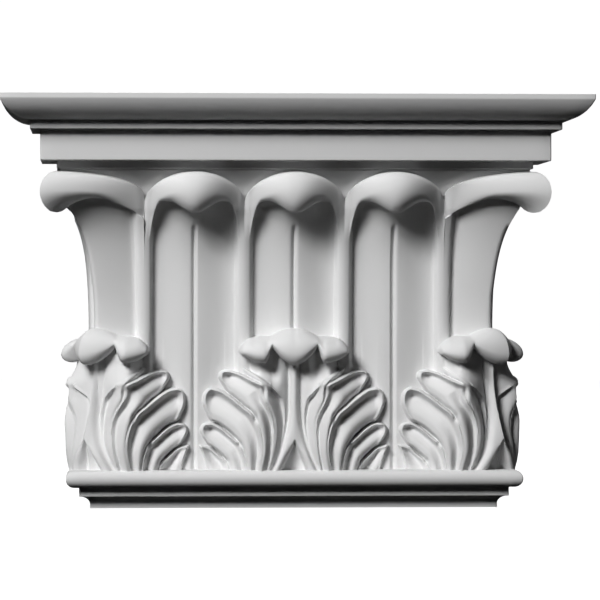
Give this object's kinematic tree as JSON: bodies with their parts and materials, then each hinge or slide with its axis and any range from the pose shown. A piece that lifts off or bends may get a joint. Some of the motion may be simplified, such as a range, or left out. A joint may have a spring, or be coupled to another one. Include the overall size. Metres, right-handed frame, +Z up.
{
  "type": "corinthian pilaster capital",
  "caption": "Flat-backed pilaster capital with a square moulded abacus, tall curling water leaves, a row of acanthus leaves and a beaded base.",
  "frame": {"origin": "centre of the flat underside, where the capital sits on the shaft of its pilaster", "axes": "+Z up, -Y out of the carved front, +Y into the wall, +X along the abacus to the right seen from the front"},
  "size_m": [0.2972, 0.0754, 0.2086],
  "materials": {
    "primed_casting": "flat white primer over a rigid urethane casting"
  },
  "bodies": {
    "root": {"capital": "primed_casting"}
  },
  "joints": []
}
